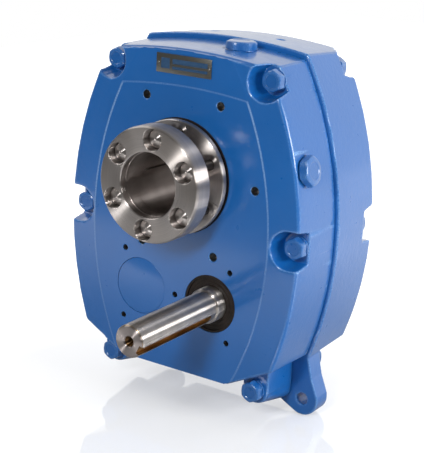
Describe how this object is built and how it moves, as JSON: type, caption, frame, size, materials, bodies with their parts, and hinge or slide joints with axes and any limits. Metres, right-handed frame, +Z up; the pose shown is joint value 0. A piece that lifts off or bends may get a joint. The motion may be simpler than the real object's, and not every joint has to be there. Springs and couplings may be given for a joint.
{
  "type": "shaft-mounted gear reducer",
  "caption": "Shaft-mounted helical gearbox: split cast housing, hollow output with flanged taper bushing, keyed input shaft, torque-arm lug and plugs.",
  "frame": {"origin": "on the output axis, in the plane of the housing's machined front face", "axes": "+Z up; the front face looks towards -Y, and all shafts lie along Y; +X to the right as seen from the front"},
  "size_m": [0.2518, 0.2553, 0.3359],
  "materials": {
    "paint": "semi-gloss blue enamel over cast iron, slight orange peel",
    "machined_steel": "turned steel with fine concentric tool marks",
    "ground_steel": "ground steel, nearly polished",
    "gear_steel": "hardened steel, grey",
    "screw_steel": "plated steel, satin",
    "seal_rubber": "dark brown nitrile, matt",
    "nameplate": "brushed plate with plain ruled fields"
  },
  "bodies": {
    "housing": {"front_housing": "paint", "rear_housing": "paint", "housing_bolt_top_left": "paint", "housing_bolt_top_right": "paint", "housing_bolt_middle_left": "paint", "housing_bolt_middle_right": "paint", "housing_bolt_bottom_left": "paint", "housing_bolt_bottom_right": "paint", "housing_nut_top_left": "paint", "housing_nut_top_right": "paint", "housing_nut_middle_left": "paint", "housing_nut_middle_right": "paint", "housing_nut_bottom_left": "paint", "housing_nut_bottom_right": "paint", "breather_plug": "paint", "level_plug": "paint", "drain_plug": "paint", "nameplate": "nameplate", "output_seal_front": "seal_rubber", "output_seal_rear": "seal_rubber", "output_bearing_front_outer_ring": "ground_steel", "output_bearing_rear_outer_ring": "ground_steel", "countershaft_bearing_front_outer_ring": "ground_steel", "countershaft_bearing_rear_outer_ring": "ground_steel", "countershaft_cover_front": "paint", "countershaft_cover_rear": "paint", "input_seal": "seal_rubber", "input_cover_rear": "paint", "input_bearing_front_outer_ring": "ground_steel", "input_bearing_rear_outer_ring": "ground_steel"},
    "output": {"output_hub": "machined_steel", "output_gear": "gear_steel", "output_gear_key": "ground_steel", "taper_bushing": "machined_steel", "thrust_collar_upper": "machined_steel", "thrust_collar_lower": "machined_steel", "bushing_screw_1": "screw_steel", "bushing_screw_2": "screw_steel", "bushing_screw_3": "screw_steel", "bushing_screw_4": "screw_steel", "bushing_screw_5": "screw_steel", "bushing_screw_6": "screw_steel", "output_bearing_front_inner_ring": "ground_steel", "output_bearing_rear_inner_ring": "ground_steel"},
    "counter": {"countershaft": "gear_steel", "countershaft_gear": "gear_steel", "countershaft_key": "ground_steel", "countershaft_bearing_front_inner_ring": "ground_steel", "countershaft_bearing_rear_inner_ring": "ground_steel"},
    "input": {"input_shaft": "ground_steel", "input_bearing_front_inner_ring": "ground_steel", "input_bearing_rear_inner_ring": "ground_steel"},
    "output_front_rollers": {"output_bearing_front_rollers": "gear_steel"},
    "output_rear_rollers": {"output_bearing_rear_rollers": "gear_steel"},
    "counter_front_rollers": {"countershaft_bearing_front_rollers": "gear_steel"},
    "counter_rear_rollers": {"countershaft_bearing_rear_rollers": "gear_steel"},
    "input_front_rollers": {"input_bearing_front_rollers": "gear_steel"},
    "input_rear_rollers": {"input_bearing_rear_rollers": "gear_steel"}
  },
  "joints": [
    {"name": "output_spin", "type": "hinge", "parent": "housing", "child": "output", "pos_m": [0, 0, 0], "axis": [0, 1, 0], "continuous": true},
    {"name": "countershaft_spin", "type": "hinge", "parent": "housing", "child": "counter", "pos_m": [-0.0375, 0, -0.1093], "axis": [0, 1, 0], "continuous": true},
    {"name": "input_spin", "type": "hinge", "parent": "housing", "child": "input", "pos_m": [0.0375, 0, -0.1093], "axis": [0, 1, 0], "continuous": true},
    {"name": "output_front_rollers_spin", "type": "hinge", "parent": "housing", "child": "output_front_rollers", "pos_m": [0, 0, 0], "axis": [0, 1, 0], "continuous": true},
    {"name": "output_rear_rollers_spin", "type": "hinge", "parent": "housing", "child": "output_rear_rollers", "pos_m": [0, 0, 0], "axis": [0, 1, 0], "continuous": true},
    {"name": "counter_front_rollers_spin", "type": "hinge", "parent": "housing", "child": "counter_front_rollers", "pos_m": [-0.0375, 0, -0.1093], "axis": [0, 1, 0], "continuous": true},
    {"name": "counter_rear_rollers_spin", "type": "hinge", "parent": "housing", "child": "counter_rear_rollers", "pos_m": [-0.0375, 0, -0.1093], "axis": [0, 1, 0], "continuous": true},
    {"name": "input_front_rollers_spin", "type": "hinge", "parent": "housing", "child": "input_front_rollers", "pos_m": [0.0375, 0, -0.1093], "axis": [0, 1, 0], "continuous": true},
    {"name": "input_rear_rollers_spin", "type": "hinge", "parent": "housing", "child": "input_rear_rollers", "pos_m": [0.0375, 0, -0.1093], "axis": [0, 1, 0], "continuous": true}
  ],
  "couplings": [
    {"joint": "countershaft_spin", "follows": "output_spin", "ratio": -4.1176},
    {"joint": "input_spin", "follows": "output_spin", "ratio": 14.048},
    {"joint": "output_front_rollers_spin", "follows": "output_spin", "ratio": 0.45882},
    {"joint": "output_rear_rollers_spin", "follows": "output_spin", "ratio": 0.45882},
    {"joint": "counter_front_rollers_spin", "follows": "output_spin", "ratio": -1.8211},
    {"joint": "counter_rear_rollers_spin", "follows": "output_spin", "ratio": -1.8211},
    {"joint": "input_front_rollers_spin", "follows": "output_spin", "ratio": 6.4069},
    {"joint": "input_rear_rollers_spin", "follows": "output_spin", "ratio": 6.2131}
  ]
}
